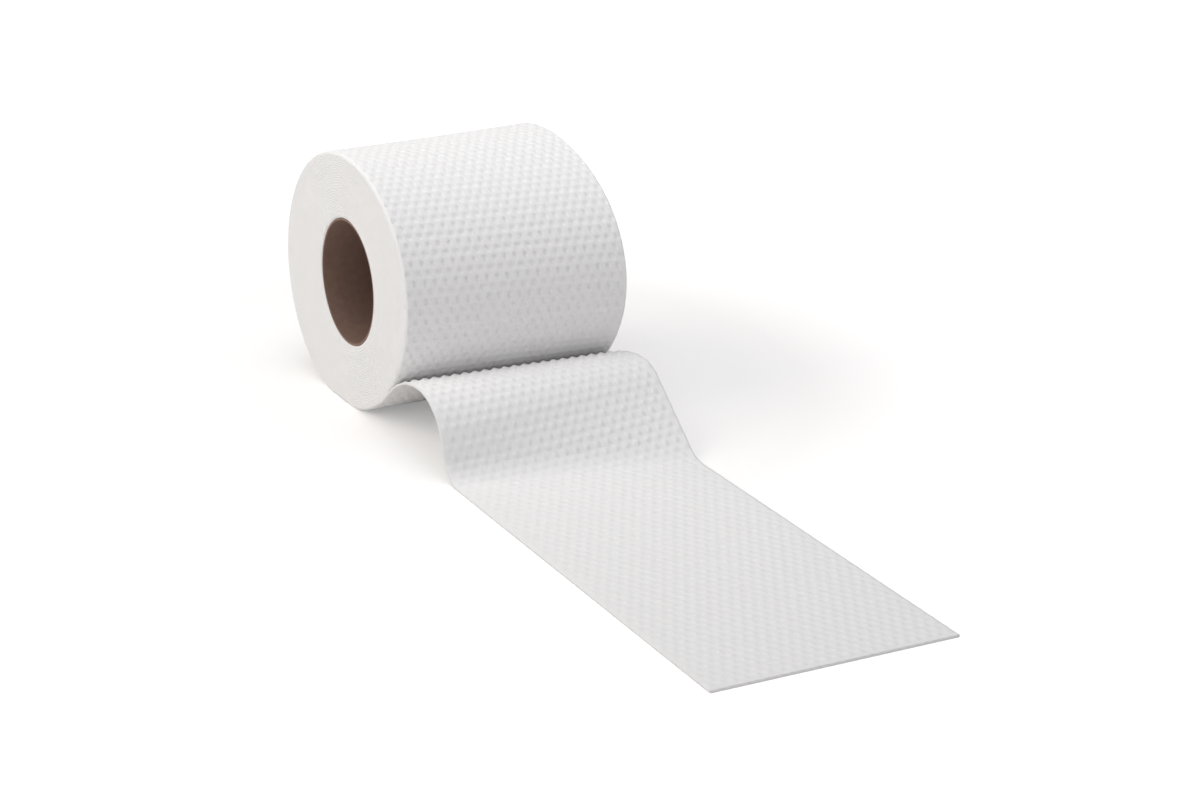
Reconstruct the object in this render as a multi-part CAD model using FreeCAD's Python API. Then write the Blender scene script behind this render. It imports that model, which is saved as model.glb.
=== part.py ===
import FreeCAD, Part
import math
import os

# A toilet paper roll that lies on its side with a length of paper drawn out in front of it.
# The origin is the centre of the core's bore, +Y runs along the bore, +X points to the loose
# end of the paper and +Z is up. "Near" is the end of the roll at -Y and "far" the end at +Y.
# Lengths are in millimetres and angles in degrees.

# The paper
sheet_width = 92.0
sheet_thickness = 0.8
loose_end_near_x = 272.9
loose_end_far_x = 273.7

# The wound roll, a leaning oval that sinks a little below the floor and is cut flat there.
# Pressed by hand, it also bulges at three places round it, the first of them at the bulge's turn.
near_half_width = 57.7
near_half_height = 50.0
near_lean = 12.0
near_bulge = 0.5
near_bulge_turn = 9.0
near_centre_x = -3.0
near_centre_z = -0.5
far_half_width = 59.5
far_half_height = 50.2
far_lean = -2.0
far_bulge = 2.0
far_bulge_turn = 14.5
far_centre_x = -5.8
rim_radius = 1.4
flat_sag = 1.7

# The cardboard core
bore_diameter = 47.5
core_wall = 0.75
core_seat_gap = 0.1
core_recess = 0.4

# The hump that the drawn-out paper makes in front of the roll
near_crest_x = 64.5
near_crest_height = 27.1
near_crest_radius = 20.8
near_fall_angle = 69.0
near_foot_radius = 11.0
far_crest_x = 67.5
far_crest_height = 26.4
far_crest_radius = 19.4
far_fall_angle = 37.0
far_foot_radius = 15.6
crease_length = 4.0

# The turns that show as a spiral line on both ends of the roll
turns_shown = 3
turn_line_width = 0.5
turn_line_depth = 0.5
turn_margin = 0.6

# How finely curves are laid out
rim_steps = 2
body_spans = 4
roll_curve_steps = 25


def mix(near, far, share):
    return near + (far - near) * share


def bisect(value, low, high):
    """The place between low and high where value, which rises, is nought."""
    for _ in range(60):
        middle = (low + high) / 2
        if value(middle) < 0:
            low = middle
        else:
            high = middle
    return (low + high) / 2


def lowest_reach(half_width, half_height, lean):
    """How far a leaning oval reaches below its centre."""
    return math.hypot(half_width * math.sin(lean), half_height * math.cos(lean))


angle_step = 1e-5
near_reach = lowest_reach(near_half_width, near_half_height, math.radians(near_lean))
floor_z = near_centre_z - near_reach + flat_sag


class Section:
    """The paper's outline in one plane across the roll, at a share of the way from near to far."""

    def __init__(self, share):
        self.half_width = mix(near_half_width, far_half_width, share)
        self.half_height = mix(near_half_height, far_half_height, share)
        self.lean = math.radians(mix(near_lean, far_lean, share))
        self.bulge = mix(near_bulge, far_bulge, share)
        self.bulge_turn = math.radians(mix(near_bulge_turn, far_bulge_turn, share))
        self.centre_x = mix(near_centre_x, far_centre_x, share)
        reach = lowest_reach(self.half_width, self.half_height, self.lean)
        self.centre_z = floor_z - flat_sag + reach
        self.crest_x = mix(near_crest_x, far_crest_x, share)
        self.crest_z = floor_z + mix(near_crest_height, far_crest_height, share)
        self.crest_radius = mix(near_crest_radius, far_crest_radius, share)
        self.fall = math.radians(mix(near_fall_angle, far_fall_angle, share))
        self.foot_radius = mix(near_foot_radius, far_foot_radius, share)
        self.end_x = mix(loose_end_near_x, loose_end_far_x, share)
        self.peel = bisect(self.peel_error, math.radians(-85), math.radians(-5))

    def outside(self, angle):
        """A point of the outline at an angle round the roll."""
        turned = angle - self.lean
        across = self.half_width * math.cos(turned)
        up = self.half_height * math.sin(turned)
        bulge = self.bulge * math.cos(3 * (angle - self.bulge_turn))
        across += bulge * math.cos(turned)
        up += bulge * math.sin(turned)
        cosine, sine = math.cos(self.lean), math.sin(self.lean)
        return self.centre_x + across * cosine - up * sine, self.centre_z + across * sine + up * cosine

    def normal(self, angle):
        """The direction straight out of the outline at an angle."""
        x, z = self.outside(angle - angle_step)
        next_x, next_z = self.outside(angle + angle_step)
        size = math.hypot(next_x - x, next_z - z)
        return (next_z - z) / size, (x - next_x) / size

    def surface(self, angle, inset=0.0):
        """A point of the outline at an angle, moved inwards by inset."""
        x, z = self.outside(angle)
        nx, nz = self.normal(angle)
        return x - nx * inset, z - nz * inset

    def peel_radius(self, angle):
        """The arc that leaves the oval at an angle as its tangent and is level above the crest."""
        x, _ = self.surface(angle)
        nx, _ = self.normal(angle)
        return (self.crest_x - x) / nx

    def peel_error(self, angle):
        _, z = self.surface(angle)
        _, nz = self.normal(angle)
        radius = self.peel_radius(angle)
        return z + radius * nz - (self.crest_z - radius)

    def turn_point(self, angle, y):
        """A point of the last turn, which grows by one thickness of paper and has rounded rims."""
        travelled = (angle - self.peel) / (2 * math.pi)
        nearest = min(angle - self.peel, self.peel + 2 * math.pi - angle)
        fade = min(1.0, nearest / math.radians(25))
        return self.surface(angle, sheet_thickness * (1 - travelled) + rim_inset(y) * fade)


def rim_inset(y):
    """How far the rounded rims draw the paper in at y."""
    short = max(0.0, rim_radius - (sheet_width / 2 - abs(y)))
    return rim_radius - math.sqrt(rim_radius ** 2 - short ** 2)


def on_arc(centre, radius, angle):
    return centre[0] + radius * math.cos(angle), centre[1] + radius * math.sin(angle)


def line(start, end, y):
    return Part.LineSegment(FreeCAD.Vector(start[0], y, start[1]), FreeCAD.Vector(end[0], y, end[1])).toShape()


def arc(centre, radius, start, end, y):
    points = [on_arc(centre, radius, angle) for angle in (start, (start + end) / 2, end)]
    return Part.Arc(*[FreeCAD.Vector(x, y, z) for x, z in points]).toShape()


def smooth(points, y):
    curve = Part.BSplineCurve()
    curve.interpolate([FreeCAD.Vector(x, y, z) for x, z in points])
    return curve.toShape()


def spread(start, end, count):
    return [start + (end - start) * k / (count - 1) for k in range(count)]


def turn_edge(section, y):
    """The last turn from the crease all the way round to the peel."""
    crease = section.peel + 2 * crease_length / (section.half_width + section.half_height)
    angles = spread(crease, section.peel + 2 * math.pi, roll_curve_steps + 1)
    points = [section.turn_point(angle, y) for angle in angles]
    return smooth(points, y), points[0]


def web_edges(section, y, crease_point):
    """The drawn-out paper: its underside to the loose end, and its upper side back to the crease."""
    nx, nz = section.normal(section.peel)
    peel_radius = section.peel_radius(section.peel)
    leg = (section.crest_x, section.crest_z - peel_radius)
    leg_start = math.atan2(-nz, -nx)
    crest = (section.crest_x, section.crest_z - section.crest_radius)
    crest_end = math.pi / 2 - section.fall
    under_foot = section.foot_radius + sheet_thickness
    fall_top = on_arc(crest, section.crest_radius, crest_end)
    drop = fall_top[1] - floor_z - under_foot * (1 - math.cos(section.fall))
    fall_bottom = (fall_top[0] + drop / math.tan(section.fall), fall_top[1] - drop)
    foot = (fall_bottom[0] + under_foot * math.sin(section.fall), floor_z + under_foot)
    foot_start = -math.pi / 2 - section.fall
    upper_z = floor_z + sheet_thickness
    upper_leg = peel_radius + sheet_thickness
    upper_crest = section.crest_radius + sheet_thickness
    leg_end = leg_start - crease_length / upper_leg
    upper_fall_top = on_arc(crest, upper_crest, crest_end)
    upper_fall_bottom = on_arc(foot, section.foot_radius, foot_start)
    return [
        arc(leg, peel_radius, leg_start, math.pi / 2, y),
        arc(crest, section.crest_radius, math.pi / 2, crest_end, y),
        line(fall_top, fall_bottom, y),
        arc(foot, under_foot, foot_start, -math.pi / 2, y),
        line((foot[0], floor_z), (section.end_x, floor_z), y),
        line((section.end_x, floor_z), (section.end_x, upper_z), y),
        line((section.end_x, upper_z), (foot[0], upper_z), y),
        arc(foot, section.foot_radius, -math.pi / 2, foot_start, y),
        line(upper_fall_bottom, upper_fall_top, y),
        arc(crest, upper_crest, crest_end, math.pi / 2, y),
        arc(leg, upper_leg, math.pi / 2, leg_end, y),
        line(on_arc(leg, upper_leg, leg_end), crease_point, y),
    ]


def outline(y):
    section = Section(y / sheet_width + 0.5)
    turn, crease_point = turn_edge(section, y)
    return Part.Wire([turn] + web_edges(section, y, crease_point))


def rim_stations(end):
    """The planes that a rounded rim is drawn in, from the end of the roll inwards."""
    bends = spread(0, math.pi / 2, rim_steps + 1)
    return [end * (sheet_width / 2 - rim_radius * (1 - math.cos(bend))) for bend in bends]


def stations():
    """The planes that the outline is drawn in, from the near end of the roll to the far end."""
    between = spread(-sheet_width / 2, sheet_width / 2, body_spans + 1)[1:-1]
    return rim_stations(-1) + between + rim_stations(1)[::-1]


def hole_radius():
    return bore_diameter / 2 + core_wall + core_seat_gap


def turn_line(end):
    """The spiral groove between the turns on the end of the roll at -Y (end -1) or +Y (end 1)."""
    section = Section(end / 2 + 0.5)
    y = end * (sheet_width / 2 + turn_line_depth)
    paper_depth = section.half_height - hole_radius()
    line_share = turn_line_width / paper_depth

    def place(turn, side):
        angle = section.peel + 2 * math.pi * turn
        outer = section.surface(angle, sheet_thickness + rim_radius)
        inner = on_arc((0, 0), hole_radius(), angle)
        share = (turn + turn_margin) / (turns_shown + 2 * turn_margin) + side * line_share
        return FreeCAD.Vector(mix(inner[0], outer[0], share), y, mix(inner[1], outer[1], share))

    def quarter(number, side):
        turns = [(number + step) / 4 for step in (0, 0.5, 1)]
        return Part.Arc(*[place(turn, side) for turn in turns]).toShape()

    quarters = range(4 * turns_shown)
    inside = [quarter(number, -0.5) for number in quarters]
    outside = [quarter(number, 0.5) for number in reversed(quarters)]
    first = Part.LineSegment(place(0, -0.5), place(0, 0.5)).toShape()
    last = Part.LineSegment(place(turns_shown, -0.5), place(turns_shown, 0.5)).toShape()
    ribbon = Part.Face(Part.Wire(inside + [last] + outside + [first]))
    return ribbon.extrude(FreeCAD.Vector(0, -2 * end * turn_line_depth, 0))


def below_floor():
    """The block that cuts the flat spot under the wound roll."""
    reach = near_crest_x / 2
    corner = FreeCAD.Vector(-reach, -sheet_width, floor_z - near_reach)
    return Part.makeBox(2 * reach, 2 * sheet_width, near_reach, corner)


def paper_roll():
    body = Part.makeLoft([outline(y) for y in stations()], True, True)
    start = FreeCAD.Vector(0, -sheet_width, 0)
    hole = Part.makeCylinder(hole_radius(), 2 * sheet_width, start, FreeCAD.Vector(0, 1, 0))
    return body.cut(hole).cut(below_floor()).cut(turn_line(-1)).cut(turn_line(1))


def cardboard_core():
    length = sheet_width - 2 * core_recess
    start = FreeCAD.Vector(0, -length / 2, 0)
    along = FreeCAD.Vector(0, 1, 0)
    outside = Part.makeCylinder(bore_diameter / 2 + core_wall, length, start, along)
    return outside.cut(Part.makeCylinder(bore_diameter / 2, length, start, along))


os.makedirs("parts", exist_ok=True)
paper_roll().exportStep("parts/paper_roll.step")
cardboard_core().exportStep("parts/cardboard_core.step")
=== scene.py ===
import bpy
import math
import numpy as np
from mathutils import Matrix, Vector


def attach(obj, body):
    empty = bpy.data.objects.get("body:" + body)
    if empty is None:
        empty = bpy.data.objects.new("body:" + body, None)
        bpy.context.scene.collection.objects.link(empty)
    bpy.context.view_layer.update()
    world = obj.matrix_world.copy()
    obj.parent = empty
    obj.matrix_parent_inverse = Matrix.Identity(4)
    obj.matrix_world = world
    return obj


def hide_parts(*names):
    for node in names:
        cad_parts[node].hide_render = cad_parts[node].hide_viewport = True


# A toilet paper roll on its side, with a length of paper drawn out over a hump in front of it.
# Sizes are in millimetres until a mesh is made; the mesh is in metres, in the frame of the CAD model.

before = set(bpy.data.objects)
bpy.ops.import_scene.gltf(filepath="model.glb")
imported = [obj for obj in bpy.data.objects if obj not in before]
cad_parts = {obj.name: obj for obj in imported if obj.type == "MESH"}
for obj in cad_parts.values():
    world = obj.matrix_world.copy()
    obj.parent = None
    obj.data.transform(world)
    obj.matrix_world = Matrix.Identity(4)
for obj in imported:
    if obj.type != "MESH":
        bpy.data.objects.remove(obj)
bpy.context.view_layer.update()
print("loaded the frame with", sorted(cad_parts))

mm = 0.001
angleStep = 1e-5             # radians each way, over which a direction is taken


# small helpers

def linearColour(hexText):
    # sRGB hex to the linear colour that a shader socket wants
    values = [int(hexText[i:i + 2], 16) / 255 for i in (1, 3, 5)]
    return [v / 12.92 if v <= 0.04045 else ((v + 0.055) / 1.055) ** 2.4 for v in values] + [1.0]


def addNode(tree, kind, settings=None, inputs=None):
    # settings are the node's own properties; an input is a plain value or the socket that feeds it
    node = tree.nodes.new(kind)
    for name, value in (settings or {}).items():
        setattr(node, name, value)
    for name, value in (inputs or {}).items():
        if isinstance(value, bpy.types.NodeSocket):
            tree.links.new(value, node.inputs[name])
        else:
            node.inputs[name].default_value = value
    return node


def sumOf(tree, operation, *values):
    # one step of a sum, such as a product, and the socket that gives its result
    return addNode(tree, "ShaderNodeMath", {"operation": operation}, dict(enumerate(values))).outputs[0]


def newMaterial(name):
    material = bpy.data.materials.new(name)
    material.use_nodes = True
    tree = material.node_tree
    tree.nodes.clear()
    return material, tree


def mix(near, far, share):
    return near + (far - near) * share


# the outline of the paper, which the wound roll and the drawn-out sheet share

paper = {
    "width": 92.0,
    "thickness": 0.8,
    "floor": -49.1572,
    "sag": 1.7,              # how far the oval would sink below the floor
    "halfWidth": (57.7, 59.5),       # at the near end and at the far end
    "halfHeight": (50.0, 50.2),
    "lean": (12.0, -2.0),
    "bulge": (0.5, 2.0),     # a roll pressed by hand bulges at three places
    "bulgeTurn": (9.0, 14.5),
    "centreX": (-3.0, -5.8),
    "rimRadius": 1.4,
    "crestX": (64.5, 67.5),
    "crestHeight": (27.1, 26.4),
    "crestRadius": (20.8, 19.4),
    "fallAngle": (69.0, 37.0),
    "footRadius": (11.0, 15.6),
    "looseEndX": (272.9, 273.7),
    "rimFade": 25.0,         # degrees from the peel over which the rounded rims begin
}

embossing = {
    "pitchAcross": 4.2,      # from dot to dot along a row, as counted in the photograph
    "rowSpacing": 3.65,      # from row to row, each row half a pitch aside of the last
    "depth": 0.75,
    "dotEdge": 0.22,         # where a dot starts, from 0 at mid height of the wave to 1 at its top
    "samplesPerPitch": 5,    # the mesh follows the dots, so that all of them come out alike
}

embossInputs = {
    "Pitch Across": embossing["pitchAcross"] * mm,
    "Row Spacing": embossing["rowSpacing"] * mm,
    "Depth": embossing["depth"] * mm,
    "Dot Edge": embossing["dotEdge"],
}


class Section:
    # the outline at a share of the way from the near end to the far end
    def __init__(self, share):
        self.halfWidth = mix(*paper["halfWidth"], share)
        self.halfHeight = mix(*paper["halfHeight"], share)
        self.lean = math.radians(mix(*paper["lean"], share))
        self.bulge = mix(*paper["bulge"], share)
        self.bulgeTurn = math.radians(mix(*paper["bulgeTurn"], share))
        self.centreX = mix(*paper["centreX"], share)
        reach = math.hypot(self.halfWidth * math.sin(self.lean), self.halfHeight * math.cos(self.lean))
        self.centreZ = paper["floor"] - paper["sag"] + reach
        self.crestX = mix(*paper["crestX"], share)
        self.crestZ = paper["floor"] + mix(*paper["crestHeight"], share)
        self.crestRadius = mix(*paper["crestRadius"], share)
        self.fall = math.radians(mix(*paper["fallAngle"], share))
        self.footRadius = mix(*paper["footRadius"], share)
        self.endX = mix(*paper["looseEndX"], share)
        self.peel = self.findPeel()

    def outside(self, angle):
        turned = angle - self.lean
        bulge = self.bulge * np.cos(3 * (angle - self.bulgeTurn))
        across = (self.halfWidth + bulge) * np.cos(turned)
        up = (self.halfHeight + bulge) * np.sin(turned)
        cosine, sine = math.cos(self.lean), math.sin(self.lean)
        return self.centreX + across * cosine - up * sine, self.centreZ + across * sine + up * cosine

    def normal(self, angle):
        x, z = self.outside(angle - angleStep)
        nextX, nextZ = self.outside(angle + angleStep)
        size = np.hypot(nextX - x, nextZ - z)
        return (nextZ - z) / size, (x - nextX) / size

    def surface(self, angle, inset=0.0):
        x, z = self.outside(angle)
        nx, nz = self.normal(angle)
        return x - nx * inset, z - nz * inset

    def peelRadius(self, angle):
        x, _ = self.surface(angle)
        nx, _ = self.normal(angle)
        return (self.crestX - x) / nx

    def findPeel(self):
        # the arc that leaves the oval as its tangent there is level at the height of the crest
        low, high = math.radians(-85), math.radians(-5)
        for _ in range(60):
            angle = (low + high) / 2
            z = self.surface(angle)[1]
            nz = self.normal(angle)[1]
            radius = self.peelRadius(angle)
            if z + radius * nz < self.crestZ - radius:
                low = angle
            else:
                high = angle
        return (low + high) / 2


def rimInset(y):
    short = max(0.0, paper["rimRadius"] - (paper["width"] / 2 - abs(y)))
    return paper["rimRadius"] - math.sqrt(paper["rimRadius"] ** 2 - short ** 2)


def arcRun(centre, radius, start, end, count=60):
    angles = np.linspace(start, end, count)
    return np.stack([centre[0] + radius * np.cos(angles), centre[1] + radius * np.sin(angles)], 1)


def webPath(section):
    # the underside of the drawn-out paper, from the peel over the crest to the loose end
    nx, nz = section.normal(section.peel)
    radius = section.peelRadius(section.peel)
    leg = (section.crestX, section.crestZ - radius)
    crest = (section.crestX, section.crestZ - section.crestRadius)
    crestEnd = math.pi / 2 - section.fall
    under = section.footRadius + paper["thickness"]
    rise = arcRun(leg, radius, math.atan2(-nz, -nx), math.pi / 2)
    over = arcRun(crest, section.crestRadius, math.pi / 2, crestEnd)
    drop = over[-1][1] - paper["floor"] - under * (1 - math.cos(section.fall))
    bottom = over[-1] + np.array([drop / math.tan(section.fall), -drop])
    foot = (bottom[0] + under * math.sin(section.fall), paper["floor"] + under)
    turn = arcRun(foot, under, -math.pi / 2 - section.fall, -math.pi / 2)
    flat = np.array([[section.endX, paper["floor"]]])
    return np.concatenate([rise, over[1:], turn, flat])


def lengthsAlong(points):
    steps = np.hypot(*np.diff(points, axis=0).T)
    return np.concatenate([[0.0], np.cumsum(steps)])


middle = Section(0.5)
webLength = float(lengthsAlong(webPath(middle))[-1])
rowStep = embossing["rowSpacing"] / embossing["samplesPerPitch"]
columnStep = embossing["pitchAcross"] / embossing["samplesPerPitch"]
print("drawn-out paper is", round(webLength, 1), "mm long")


# embossing, as Geometry Nodes that press rows of dots into a mesh along its own directions

def buildEmbossTree(material):
    tree = bpy.data.node_groups.new("pressEmbossedDots", "GeometryNodeTree")
    face = tree.interface
    face.new_socket("Geometry", in_out="INPUT", socket_type="NodeSocketGeometry")
    for name in embossInputs:
        face.new_socket(name, in_out="INPUT", socket_type="NodeSocketFloat")
    face.new_socket("Geometry", in_out="OUTPUT", socket_type="NodeSocketGeometry")
    start = addNode(tree, "NodeGroupInput")
    vector = {"data_type": "FLOAT_VECTOR"}
    place = addNode(tree, "GeometryNodeInputNamedAttribute", vector, {"Name": "paperPlace"})
    press = addNode(tree, "GeometryNodeInputNamedAttribute", vector, {"Name": "pressDirection"})
    split = addNode(tree, "ShaderNodeSeparateXYZ", inputs={0: place.outputs["Attribute"]})

    def wave(length, spacing, halfTurns):
        share = sumOf(tree, "DIVIDE", length, spacing)
        return sumOf(tree, "COSINE", sumOf(tree, "MULTIPLY", share, math.pi * halfTurns))

    # the product of two waves has its tops in rows that are half a pitch aside of each other
    along = wave(split.outputs["X"], start.outputs["Row Spacing"], 1)
    across = wave(split.outputs["Y"], start.outputs["Pitch Across"], 2)
    both = sumOf(tree, "MULTIPLY", along, across)
    dot = addNode(tree, "ShaderNodeMapRange", {"interpolation_type": "SMOOTHSTEP"},
                  {"Value": both, "From Min": start.outputs["Dot Edge"]})
    deep = sumOf(tree, "MULTIPLY", dot.outputs["Result"], start.outputs["Depth"])
    faded = sumOf(tree, "MULTIPLY", deep, split.outputs["Z"])
    offset = addNode(tree, "ShaderNodeVectorMath", {"operation": "SCALE"},
                     {0: press.outputs["Attribute"], "Scale": faded})
    moved = addNode(tree, "GeometryNodeSetPosition", inputs={
        "Geometry": start.outputs["Geometry"], "Offset": offset.outputs[0]})
    real = addNode(tree, "GeometryNodeRealizeInstances", inputs={"Geometry": moved.outputs[0]})
    dressed = addNode(tree, "GeometryNodeSetMaterial", inputs={
        "Geometry": real.outputs[0], "Material": material})
    end = addNode(tree, "NodeGroupOutput")
    tree.links.new(dressed.outputs[0], end.inputs[0])
    return tree


def meshPiece(name, points, faces, place, press):
    # one vertex for each point, with the attributes that the embossing reads
    mesh = bpy.data.meshes.new(name)
    mesh.from_pydata((points * mm).tolist(), [], faces)
    for label, values in (("paperPlace", place), ("pressDirection", press)):
        attribute = mesh.attributes.new(label, "FLOAT_VECTOR", "POINT")
        attribute.data.foreach_set("vector", values.astype(np.float32).ravel())
    piece = bpy.data.objects.new(name, mesh)
    bpy.context.scene.collection.objects.link(piece)
    return piece


def pressDots(piece, tree):
    modifier = piece.modifiers.new("embossing", "NODES")
    modifier.node_group = tree
    for socket in tree.interface.items_tree:
        if socket.in_out == "INPUT" and socket.name in embossInputs:
            modifier[socket.identifier] = embossInputs[socket.name]
    bpy.context.view_layer.update()
    evaluated = piece.evaluated_get(bpy.context.evaluated_depsgraph_get())
    finished = bpy.data.meshes.new_from_object(evaluated)
    piece.modifiers.remove(modifier)
    piece.data = finished
    finished.name = piece.name
    finished.shade_smooth()


def gridFaces(rows, columns, first):
    # quads between rows of a grid that starts at the vertex number first
    faces = []
    for i in range(rows - 1):
        a, b = first + i * columns, first + (i + 1) * columns
        faces += [(a + j, a + j + 1, b + j + 1, b + j) for j in range(columns - 1)]
    return faces


# paper material

tissue = {
    "colour": "#f3f2f2",
    "roughness": 0.92,
    "fibreSize": 0.5,        # mm; real fibres are finer, but would not show
    "fibreHeight": 0.05,     # mm
    "turnSpacing": 0.95,     # mm from line to line on the ends of the roll, where several turns crowd
    "turnHeight": 0.08,      # mm
    "crowdSize": 9.0,        # mm over which turns crowd and spread
    "crowdDrift": 2.5,       # how many lines they drift by
    "endsFacing": 0.9,       # how squarely a face looks along the bore, to count as an end of the roll
}


def tissuePaper():
    # creped tissue: matt and soft, so it shows shade only, with a faint fibrous grain,
    # and with the crowded edges of its turns as fine rings on the ends of the roll
    material, tree = newMaterial("embossed creped tissue paper")
    place = addNode(tree, "ShaderNodeTexCoord").outputs["Object"]
    fibre = addNode(tree, "ShaderNodeTexNoise", inputs={
        "Vector": place, "Scale": 1 / (tissue["fibreSize"] * mm), "Detail": 3.0, "Roughness": 0.6})
    grain = addNode(tree, "ShaderNodeBump", inputs={
        "Height": fibre.outputs["Fac"], "Distance": tissue["fibreHeight"] * mm, "Strength": 1.0})
    parts = addNode(tree, "ShaderNodeSeparateXYZ", inputs={0: place})
    flat = addNode(tree, "ShaderNodeCombineXYZ", inputs={0: parts.outputs["X"], 2: parts.outputs["Z"]})
    radius = addNode(tree, "ShaderNodeVectorMath", {"operation": "LENGTH"}, {0: flat.outputs[0]})
    crowd = addNode(tree, "ShaderNodeTexNoise", inputs={
        "Vector": place, "Scale": 1 / (tissue["crowdSize"] * mm), "Detail": 2.0})
    spacing = tissue["turnSpacing"] * mm
    drift = sumOf(tree, "MULTIPLY", crowd.outputs["Fac"], tissue["crowdDrift"] * spacing)
    ring = sumOf(tree, "ADD", radius.outputs["Value"], drift)
    wave = sumOf(tree, "SINE", sumOf(tree, "MULTIPLY", ring, 2 * math.pi / spacing))
    facing = addNode(tree, "ShaderNodeNewGeometry").outputs["True Normal"]
    sideways = addNode(tree, "ShaderNodeSeparateXYZ", inputs={0: facing}).outputs["Y"]
    ends = sumOf(tree, "GREATER_THAN", sumOf(tree, "ABSOLUTE", sideways), tissue["endsFacing"])
    height = sumOf(tree, "MULTIPLY", wave, ends)
    turns = addNode(tree, "ShaderNodeBump", inputs={
        "Height": height, "Distance": tissue["turnHeight"] * mm, "Normal": grain.outputs["Normal"]})
    shader = addNode(tree, "ShaderNodeBsdfPrincipled", inputs={
        "Base Color": linearColour(tissue["colour"]), "Roughness": tissue["roughness"], "IOR": 1.45,
        "Specular IOR Level": 0.2, "Normal": turns.outputs["Normal"]})
    out = addNode(tree, "ShaderNodeOutputMaterial")
    tree.links.new(shader.outputs["BSDF"], out.inputs["Surface"])
    return material


tissueMaterial = tissuePaper()
embossTree = buildEmbossTree(tissueMaterial)


# wound roll

woundRoll = {
    "holeRadius": 24.6,
    "faceRings": 26,         # rings of faces on each end, between the rim and the hole
    "rimColumns": 5,         # extra columns where the rim is rounded
    "holeRimRadius": 0.8,
    "holeRimRings": 3,
    "floorFade": 0.6,        # mm above the floor over which the pressed-flat dots come back
    "endFade": 1.2,          # mm from the ends over which the dots begin
    "shortestRow": 0.2,      # share of a row step, under which a last row is left out
    "narrowestColumn": 0.15, # mm, under which a last column is left out
    "outlineSamples": 4001,
}


def rollAngles():
    # equal steps along the middle outline, in time with the rows of dots, backwards from the peel
    dense = np.linspace(middle.peel, middle.peel + 2 * math.pi, woundRoll["outlineSamples"])
    run = lengthsAlong(np.stack(middle.surface(dense), 1))
    total = run[-1]
    back = np.arange(1, int(total / rowStep) + 2) * rowStep - webLength % rowStep
    back = back[back < total - woundRoll["shortestRow"] * rowStep]
    back = np.concatenate([[0.0], back, [total]])
    angles = np.interp(total - back, run, dense)
    return angles[::-1] - middle.peel, back[::-1]


def skinColumns():
    # in time with the dots across, with more columns where the rims are rounded
    half = paper["width"] / 2
    bend = np.linspace(0, math.pi / 2, woundRoll["rimColumns"] + 1)
    rim = half - paper["rimRadius"] * (1 - np.cos(bend))
    count = math.floor((rim[-1] - woundRoll["narrowestColumn"]) / columnStep)
    inner = np.arange(-count, count + 1) * columnStep
    return np.concatenate([-rim, inner, rim[::-1]])


def buildWoundRoll():
    turned, back = rollAngles()
    ys = skinColumns()
    rows, columns = len(turned), len(ys)
    skin = np.zeros((rows, columns, 3))
    place = np.zeros((rows, columns, 3))
    press = np.zeros((rows, columns, 3))
    for j, y in enumerate(ys):
        section = Section(y / paper["width"] + 0.5)
        angle = section.peel + turned
        travelled = turned / (2 * math.pi)
        nearest = np.minimum(turned, 2 * math.pi - turned)
        fade = np.minimum(1.0, nearest / math.radians(paper["rimFade"]))
        inset = paper["thickness"] * (1 - travelled) + rimInset(y) * fade
        x, z = section.surface(angle, inset)
        nx, nz = section.normal(angle)
        offFloor = np.clip((z - paper["floor"]) / woundRoll["floorFade"], 0, 1)
        fromEnd = paper["width"] / 2 - abs(y)
        skin[:, j] = np.stack([x, np.full(rows, y), np.maximum(z, paper["floor"])], 1)
        place[:, j] = np.stack([(webLength + back) * mm, np.full(rows, y * mm),
                                offFloor * np.clip(fromEnd / woundRoll["endFade"], 0, 1)], 1)
        press[:, j] = np.stack([-nx, np.zeros(rows), -nz], 1)
    points = [skin.reshape(-1, 3)]
    places = [place.reshape(-1, 3)]
    presses = [press.reshape(-1, 3)]
    faces = [face[::-1] for face in gridFaces(rows, columns, 0)]
    # the step where the last turn ends in the drawn-out sheet
    last = (rows - 1) * columns
    faces += [(last + j, last + j + 1, j + 1, j) for j in range(columns - 1)]
    total = rows * columns
    rings = woundRoll["faceRings"]
    edge = woundRoll["holeRimRadius"]
    innerRings = []
    for side, column in ((-1, 0), (1, columns - 1)):
        section = Section(0.5 + side / 2)
        angle = section.peel + turned
        rim = skin[:, column]
        hole = np.stack([np.cos(angle), np.sin(angle)], 1)
        previous = np.arange(rows) * columns + column
        for ring in range(1, rings + woundRoll["holeRimRings"] + 1):
            share = min(1.0, ring / rings)
            bend = max(0, ring - rings) / woundRoll["holeRimRings"] * math.pi / 2
            goal = hole * (woundRoll["holeRadius"] + edge * (1 - math.sin(bend)))
            x = mix(rim[:, 0], goal[:, 0], share)
            z = mix(rim[:, 2], goal[:, 1], share)
            y = side * (paper["width"] / 2 - edge * (1 - math.cos(bend)))
            points.append(np.stack([x, np.full(rows, y), z], 1))
            places.append(np.zeros((rows, 3)))
            presses.append(np.zeros((rows, 3)))
            current = total + np.arange(rows)
            total += rows
            for i in range(rows - 1):
                quad = (previous[i], previous[i + 1], current[i + 1], current[i])
                faces.append(quad if side > 0 else quad[::-1])
            # close the small step at the peel
            quad = (previous[rows - 1], previous[0], current[0], current[rows - 1])
            faces.append(quad if side > 0 else quad[::-1])
            previous = current
        innerRings.append(previous)
    near, far = innerRings
    for i in range(rows):
        k = (i + 1) % rows
        faces.append((near[i], near[k], far[k], far[i]))
    points = np.concatenate(points)
    faces = [tuple(int(v) for v in face) for face in faces]
    piece = meshPiece("wound_roll", points, faces, np.concatenate(places), np.concatenate(presses))
    return piece


# drawn-out sheet

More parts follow.
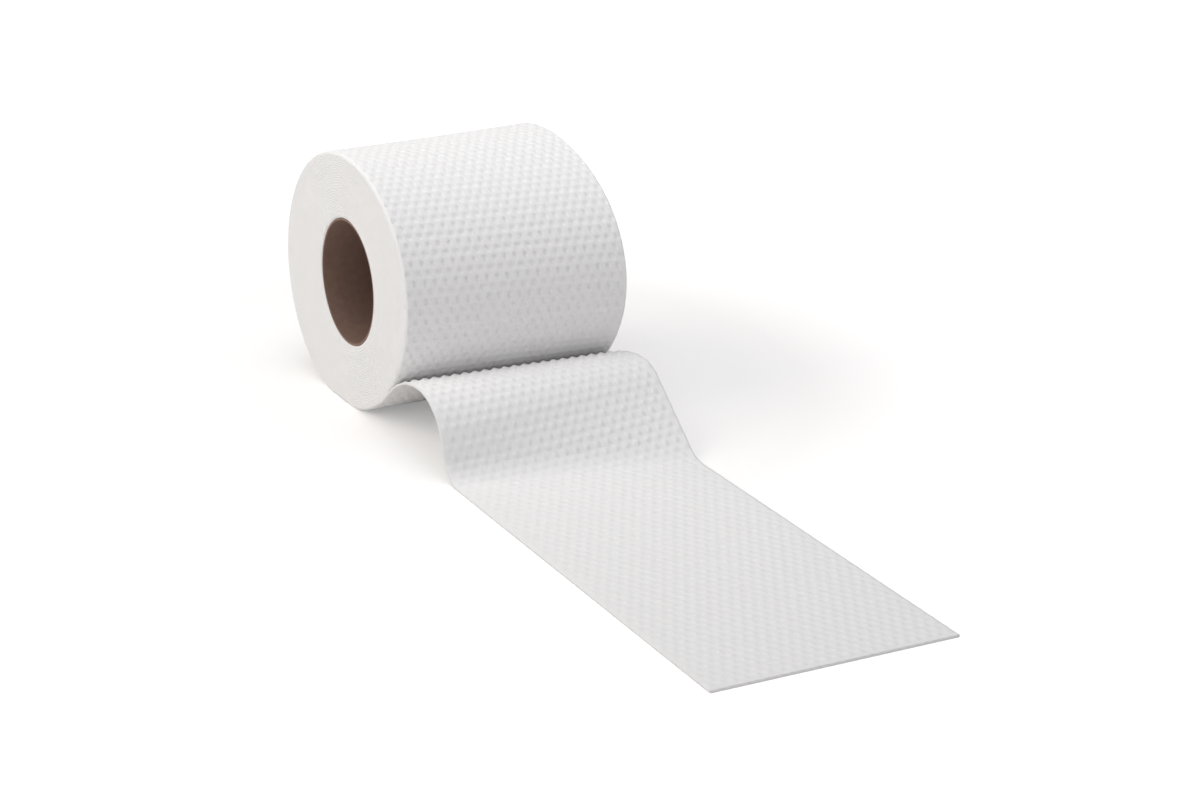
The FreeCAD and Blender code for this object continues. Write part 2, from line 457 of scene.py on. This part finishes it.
looseSheet = {
    "fixedLength": 150.0,    # the stretch from the loose end in which rows of dots stay in line
    "edgeFade": 3.0,         # mm over which the dots flatten out towards the edges
    "edgeStrength": 0.2,     # what is left of them at the edges
    "flatStrength": 0.55,    # dots lie flatter where the paper lies on the floor
    "liftFade": 6.0,         # mm above the floor where they reach full depth
    "peelFade": 6.0,         # mm from the peel over which they begin
    "slopeSpan": 0.4,        # mm each way over which the slope is taken
    "shortestRow": 0.3,      # share of a row step, under which a last row is left out
    "narrowestColumn": 0.3,  # mm, under which a last column is left out
}


def buildLooseSheet():
    half = paper["width"] / 2
    ys = np.arange(-math.floor(half / columnStep), math.floor(half / columnStep) + 1) * columnStep
    ys = np.concatenate([[-half], ys[np.abs(ys) < half - looseSheet["narrowestColumn"]], [half]])
    fromEnd = np.arange(0, webLength - looseSheet["shortestRow"] * rowStep, rowStep)
    fromEnd = np.concatenate([fromEnd, [webLength]])
    rows, columns = len(fromEnd), len(ys)
    low = np.zeros((rows, columns, 3))
    high = np.zeros((rows, columns, 3))
    place = np.zeros((rows, columns, 3))
    press = np.zeros((rows, columns, 3))
    span = looseSheet["slopeSpan"]
    for j, y in enumerate(ys):
        path = webPath(Section(y / paper["width"] + 0.5))
        run = lengthsAlong(path)
        total = run[-1]
        fixed = looseSheet["fixedLength"]
        stretched = fixed + (fromEnd - fixed) * (total - fixed) / (webLength - fixed)
        at = total - np.where(fromEnd < fixed, fromEnd, stretched)
        x = np.interp(at, run, path[:, 0])
        z = np.interp(at, run, path[:, 1])
        dx, dz = (np.interp(at + span, run, side) - np.interp(at - span, run, side) for side in path.T)
        size = np.hypot(dx, dz)
        up = np.stack([-dz / size, dx / size], 1)
        low[:, j] = np.stack([x, np.full(rows, y), z], 1)
        high[:, j] = low[:, j] + np.stack([up[:, 0], np.zeros(rows), up[:, 1]], 1) * paper["thickness"]
        lifted = np.clip((z - paper["floor"]) / looseSheet["liftFade"], 0, 1)
        strength = mix(looseSheet["flatStrength"], 1.0, lifted)
        strength *= np.clip((webLength - fromEnd) / looseSheet["peelFade"], 0, 1)
        inside = np.clip(np.minimum(fromEnd, half - abs(y)) / looseSheet["edgeFade"], 0, 1)
        strength *= mix(looseSheet["edgeStrength"], 1.0, inside)
        place[:, j] = np.stack([fromEnd * mm, np.full(rows, y * mm), strength], 1)
        press[:, j] = np.stack([up[:, 0], np.zeros(rows), up[:, 1]], 1)
    points = np.concatenate([low.reshape(-1, 3), high.reshape(-1, 3)])
    count = rows * columns
    faces = gridFaces(rows, columns, 0)
    faces += [face[::-1] for face in gridFaces(rows, columns, count)]
    for i in range(rows - 1):
        a, b = i * columns, (i + 1) * columns
        faces.append((a, b, b + count, a + count))
        a, b = a + columns - 1, b + columns - 1
        faces.append((a, a + count, b + count, b))
    last = (rows - 1) * columns
    for j in range(columns - 1):
        faces.append((j, j + count, j + 1 + count, j + 1))
        faces.append((last + j, last + j + 1, last + j + 1 + count, last + j + count))
    piece = meshPiece("drawn_out_sheet", points, faces, np.concatenate([place.reshape(-1, 3)] * 2),
                      np.concatenate([press.reshape(-1, 3)] * 2))
    return piece


rollPiece = buildWoundRoll()
pressDots(rollPiece, embossTree)
print("wound roll has", len(rollPiece.data.polygons), "faces")

sheetPiece = buildLooseSheet()
pressDots(sheetPiece, embossTree)
print("drawn-out sheet has", len(sheetPiece.data.polygons), "faces")


# cardboard core

coreBoard = {
    "colours": ("#785f53", "#8f7568"),
    "mottleSize": 2.5,       # mm
    "roughness": 0.85,
}


def wrappedBoard():
    # grey-brown recycled board, rolled: dull, with a faint mottle
    material, tree = newMaterial("rolled recycled board")
    place = addNode(tree, "ShaderNodeTexCoord")
    mottle = addNode(tree, "ShaderNodeTexNoise", inputs={
        "Vector": place.outputs["Object"], "Scale": 1 / (coreBoard["mottleSize"] * mm), "Detail": 4.0})
    dark, light = (linearColour(colour) for colour in coreBoard["colours"])
    ramp = addNode(tree, "ShaderNodeMix", {"data_type": "RGBA"}, {
        "Factor": mottle.outputs["Fac"], 6: dark, 7: light})
    shader = addNode(tree, "ShaderNodeBsdfPrincipled", inputs={
        "Base Color": ramp.outputs[2], "Roughness": coreBoard["roughness"], "IOR": 1.45})
    out = addNode(tree, "ShaderNodeOutputMaterial")
    tree.links.new(shader.outputs["BSDF"], out.inputs["Surface"])
    return material


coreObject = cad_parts["cardboard_core"]
coreObject.data.materials.clear()
coreObject.data.materials.append(wrappedBoard())


# floor, backdrop and light

studio = {
    "floorColour": "#f4f2f1",
    "floorGap": 0.05,        # mm below the paper
    "floorReach": 6.0,       # metres each way
    "floorGlow": 0.24,       # added to what the camera sees, so that the bare floor is white
    "farGlow": 0.85,         # the same far from the roll, past the reach of the lamps
    "glowNear": 0.15,        # metres from the roll where the one begins to turn into the other
    "glowFar": 0.38,
    "worldColour": "#fafbff",
    "fillColour": "#fffcf5",
    "worldLight": 0.31,
    "keySize": 0.45,
    "keyPower": 1.10,
    "keyPlace": (0.045, 0.03, 0.45),
    "fillSize": 1.0,
    "fillPower": 6.4,
    "fillPlace": (-0.30, -0.92, 0.60),
    "frontSize": 0.6,        # reaches the gap between the roll and the hump
    "frontPower": 1.35,
    "frontPlace": (1.0, -0.4, 0.35),
}


def seenDirectly(tree):
    # 1 for rays from the camera, a mirror or glass, and 0 for the light that falls on things
    ray = addNode(tree, "ShaderNodeLightPath")
    some = sumOf(tree, "MAXIMUM", ray.outputs["Is Camera Ray"], ray.outputs["Is Glossy Ray"])
    return sumOf(tree, "MAXIMUM", some, ray.outputs["Is Transmission Ray"])


def buildFloor():
    z = (paper["floor"] - studio["floorGap"]) * mm
    size = studio["floorReach"]
    mesh = bpy.data.meshes.new("floor")
    corners = [(-size, -size, z), (size, -size, z), (size, size, z), (-size, size, z)]
    mesh.from_pydata(corners, [], [(0, 1, 2, 3)])
    floor = bpy.data.objects.new("floor", mesh)
    bpy.context.scene.collection.objects.link(floor)
    material, tree = newMaterial("white painted studio floor")
    place = addNode(tree, "ShaderNodeTexCoord").outputs["Object"]
    away = addNode(tree, "ShaderNodeVectorMath", {"operation": "LENGTH"}, {0: place})
    glow = addNode(tree, "ShaderNodeMapRange", inputs={
        "Value": away.outputs["Value"], "From Min": studio["glowNear"], "From Max": studio["glowFar"],
        "To Min": studio["floorGlow"], "To Max": studio["farGlow"]})
    strength = sumOf(tree, "MULTIPLY", seenDirectly(tree), glow.outputs["Result"])
    glow = addNode(tree, "ShaderNodeEmission", inputs={
        "Color": linearColour("#ffffff"), "Strength": strength})
    matt = addNode(tree, "ShaderNodeBsdfDiffuse", inputs={"Color": linearColour(studio["floorColour"])})
    both = addNode(tree, "ShaderNodeAddShader", inputs={0: glow.outputs[0], 1: matt.outputs[0]})
    out = addNode(tree, "ShaderNodeOutputMaterial")
    tree.links.new(both.outputs[0], out.inputs["Surface"])
    mesh.materials.append(material)


def buildWorld():
    world = bpy.data.worlds.new("studio")
    bpy.context.scene.world = world
    world.use_nodes = True
    tree = world.node_tree
    tree.nodes.clear()
    light = addNode(tree, "ShaderNodeBackground", inputs={
        "Color": linearColour(studio["worldColour"]), "Strength": studio["worldLight"]})
    white = addNode(tree, "ShaderNodeBackground", inputs={"Color": linearColour("#ffffff"), "Strength": 1.0})
    choice = addNode(tree, "ShaderNodeMixShader", inputs={
        0: seenDirectly(tree), 1: light.outputs[0], 2: white.outputs[0]})
    out = addNode(tree, "ShaderNodeOutputWorld")
    tree.links.new(choice.outputs[0], out.inputs["Surface"])


def addSoftLamp(name, place, size, power, colour):
    # a square lamp that points at the middle of the roll
    data = bpy.data.lights.new(name, "AREA")
    data.shape = "SQUARE"
    data.size = size
    data.energy = power
    data.color = linearColour(colour)[:3]
    lamp = bpy.data.objects.new(name, data)
    bpy.context.scene.collection.objects.link(lamp)
    lamp.location = place
    lamp.rotation_euler = (-Vector(place)).to_track_quat("-Z", "Y").to_euler()


buildFloor()
buildWorld()
for lamp, colour in (("key", "#ffffff"), ("fill", studio["fillColour"]), ("front", "#ffffff")):
    addSoftLamp(lamp + "Lamp", studio[lamp + "Place"], studio[lamp + "Size"], studio[lamp + "Power"], colour)


# camera at the photograph's viewing angle

view = {
    "azimuth": 60.831,       # degrees from the near side towards the loose end
    "elevation": 20.61,      # degrees
    "roll": 1.552,           # degrees
    "distance": 1022.156,    # mm from the middle of the roll
    "right": 55.938,         # mm aside
    "up": -51.565,           # mm
    "lens": 79.022,          # mm
}


def buildCamera():
    a, e, r = (math.radians(view[k]) for k in ("azimuth", "elevation", "roll"))
    back = Vector((math.sin(a) * math.cos(e), -math.cos(a) * math.cos(e), math.sin(e)))
    right = (-back).cross(Vector((0, 0, 1))).normalized()
    up = right.cross(-back)
    right, up = right * math.cos(r) + up * math.sin(r), -right * math.sin(r) + up * math.cos(r)
    place = (back * view["distance"] + right * view["right"] + up * view["up"]) * mm
    data = bpy.data.cameras.new("camera")
    data.sensor_fit = "HORIZONTAL"
    data.sensor_width = 36
    data.lens = view["lens"]
    data.clip_start = 0.01
    data.clip_end = 20
    camera = bpy.data.objects.new("camera", data)
    bpy.context.scene.collection.objects.link(camera)
    turn = Matrix((right, up, back)).transposed().to_4x4()
    camera.matrix_world = Matrix.Translation(place) @ turn
    bpy.context.scene.camera = camera


buildCamera()
bpy.context.scene.view_settings.view_transform = "Standard"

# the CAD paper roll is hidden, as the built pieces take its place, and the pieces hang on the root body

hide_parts("paper_roll")
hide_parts("paper_roll")
for piece in (rollPiece, sheetPiece):
    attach(piece, "root")
print("pieces are placed")
